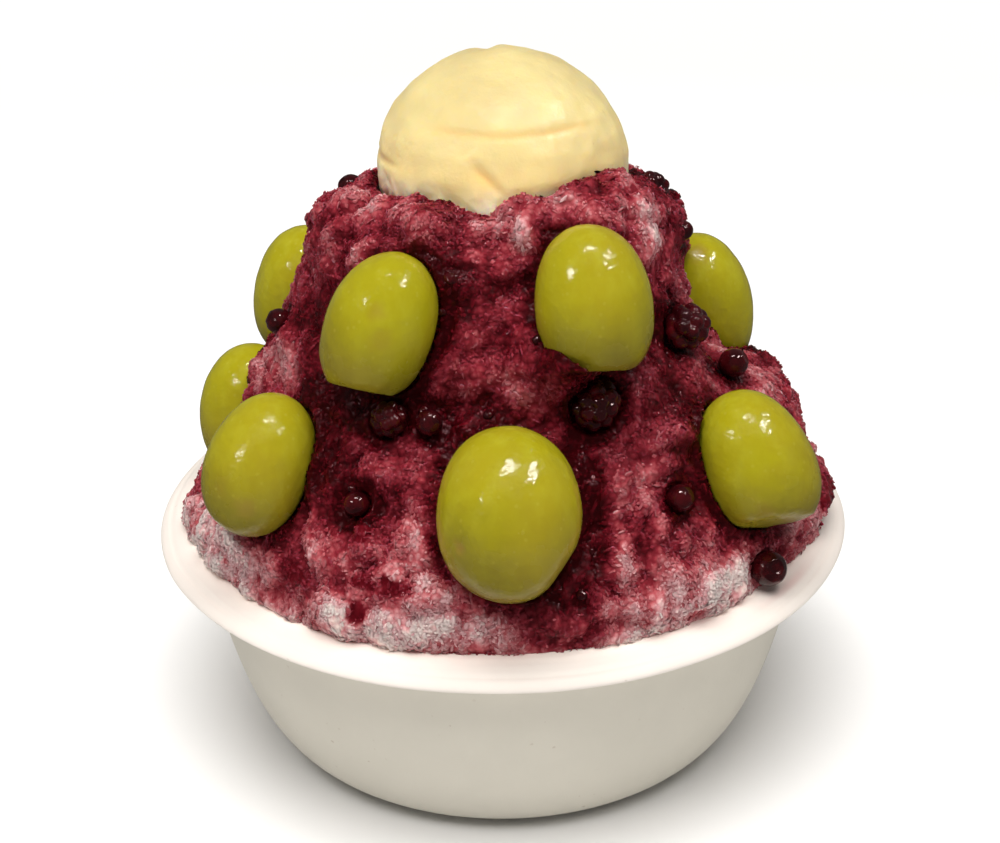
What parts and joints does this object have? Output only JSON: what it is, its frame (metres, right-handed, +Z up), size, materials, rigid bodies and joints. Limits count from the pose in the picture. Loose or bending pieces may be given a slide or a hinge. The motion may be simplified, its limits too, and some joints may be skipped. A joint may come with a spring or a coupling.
{
  "type": "shaved ice dessert",
  "caption": "Heap of syrup-soaked shaved ice in a round moulded pulp bowl, with whole green grapes and dark berries pressed into its sides and a ball of vanilla ice cream on top.",
  "frame": {"origin": "middle of the bowl's flat foot, on the table", "axes": "+Z up through the ball of ice cream, -Y the front of the heap, +X to the right of someone facing that front"},
  "size_m": [0.1412, 0.1432, 0.1437],
  "materials": {
    "pulp": "matte moulded plant fibre",
    "ice": "wet shaved ice soaked in dark berry syrup, paler towards the rim",
    "ice_cream": "soft vanilla ice cream, starting to melt at its edge",
    "grape": "glossy translucent green skin",
    "berry": "glossy dark red, nearly black"
  },
  "bodies": {
    "root": {"bowl": "pulp", "shaved_ice": "ice", "ice_cream": "ice_cream", "grape_back_left": "grape", "grape_back_right": "grape", "grape_far_left": "grape", "grape_front": "grape", "grape_low_left": "grape", "grape_low_right": "grape", "grape_side_left": "grape", "grape_side_right": "grape", "grape_upper_back": "grape", "grape_upper_left": "grape", "grape_upper_right": "grape", "bramble_back": "berry", "bramble_front_left": "berry", "bramble_front_right": "berry", "bramble_right": "berry", "bramble_top_right": "berry", "currant_back_low": "berry", "currant_back_right": "berry", "currant_crown_left": "berry", "currant_front_left": "berry", "currant_low_left": "berry", "currant_low_right": "berry", "currant_right": "berry", "currant_rim": "berry", "currant_shoulder": "berry", "currant_side_left": "berry"}
  },
  "joints": []
}
